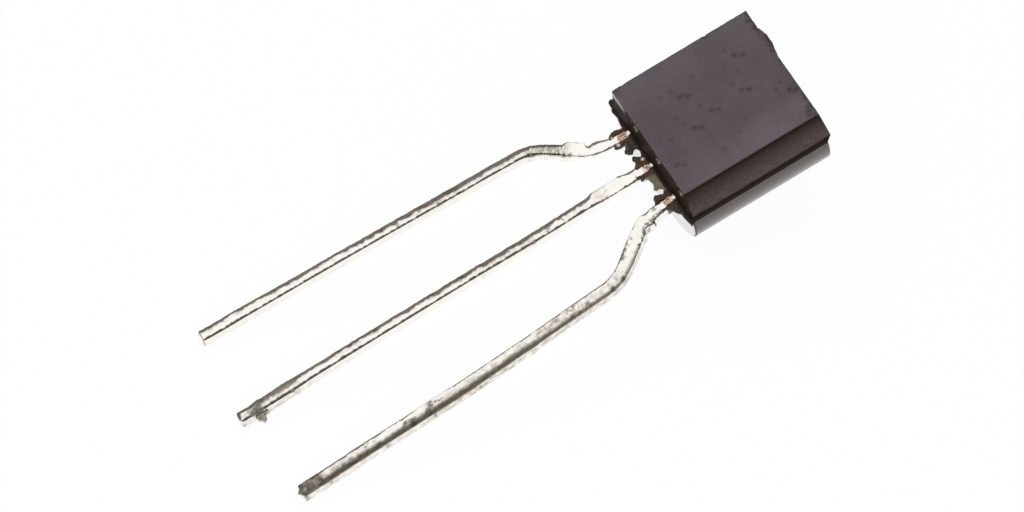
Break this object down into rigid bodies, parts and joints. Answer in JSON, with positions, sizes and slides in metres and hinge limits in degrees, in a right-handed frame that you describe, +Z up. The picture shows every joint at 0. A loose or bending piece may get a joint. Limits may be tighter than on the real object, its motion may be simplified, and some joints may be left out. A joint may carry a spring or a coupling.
{
  "type": "to-92 transistor",
  "caption": "Small-signal transistor: half-round moulded case with a flat front, mould flash, and splayed solder-dipped leads, lying on its back.",
  "frame": {"origin": "on the surface it lies on, under the middle of its bounding box", "axes": "+Z up, the way the flat front faces but for the 8.6 degrees by which the case leans on its leads; +Y along the leads towards the top of the case; +X across the case, towards the collector lead"},
  "size_m": [0.0064, 0.0185, 0.0043],
  "materials": {
    "epoxy": "fine matte moulded epoxy with a faint brown and purple mottle",
    "tinned_lead": "bright dipped solder over copper, bare copper at the case",
    "silicon": "polished silicon",
    "solder": "dull soft solder",
    "gold": "bright drawn gold"
  },
  "bodies": {
    "root": {"case": "epoxy", "emitter_lead": "tinned_lead", "base_lead": "tinned_lead", "collector_lead": "tinned_lead", "chip": "silicon", "chip_solder": "solder", "base_wire": "gold", "emitter_wire": "gold"}
  },
  "joints": []
}
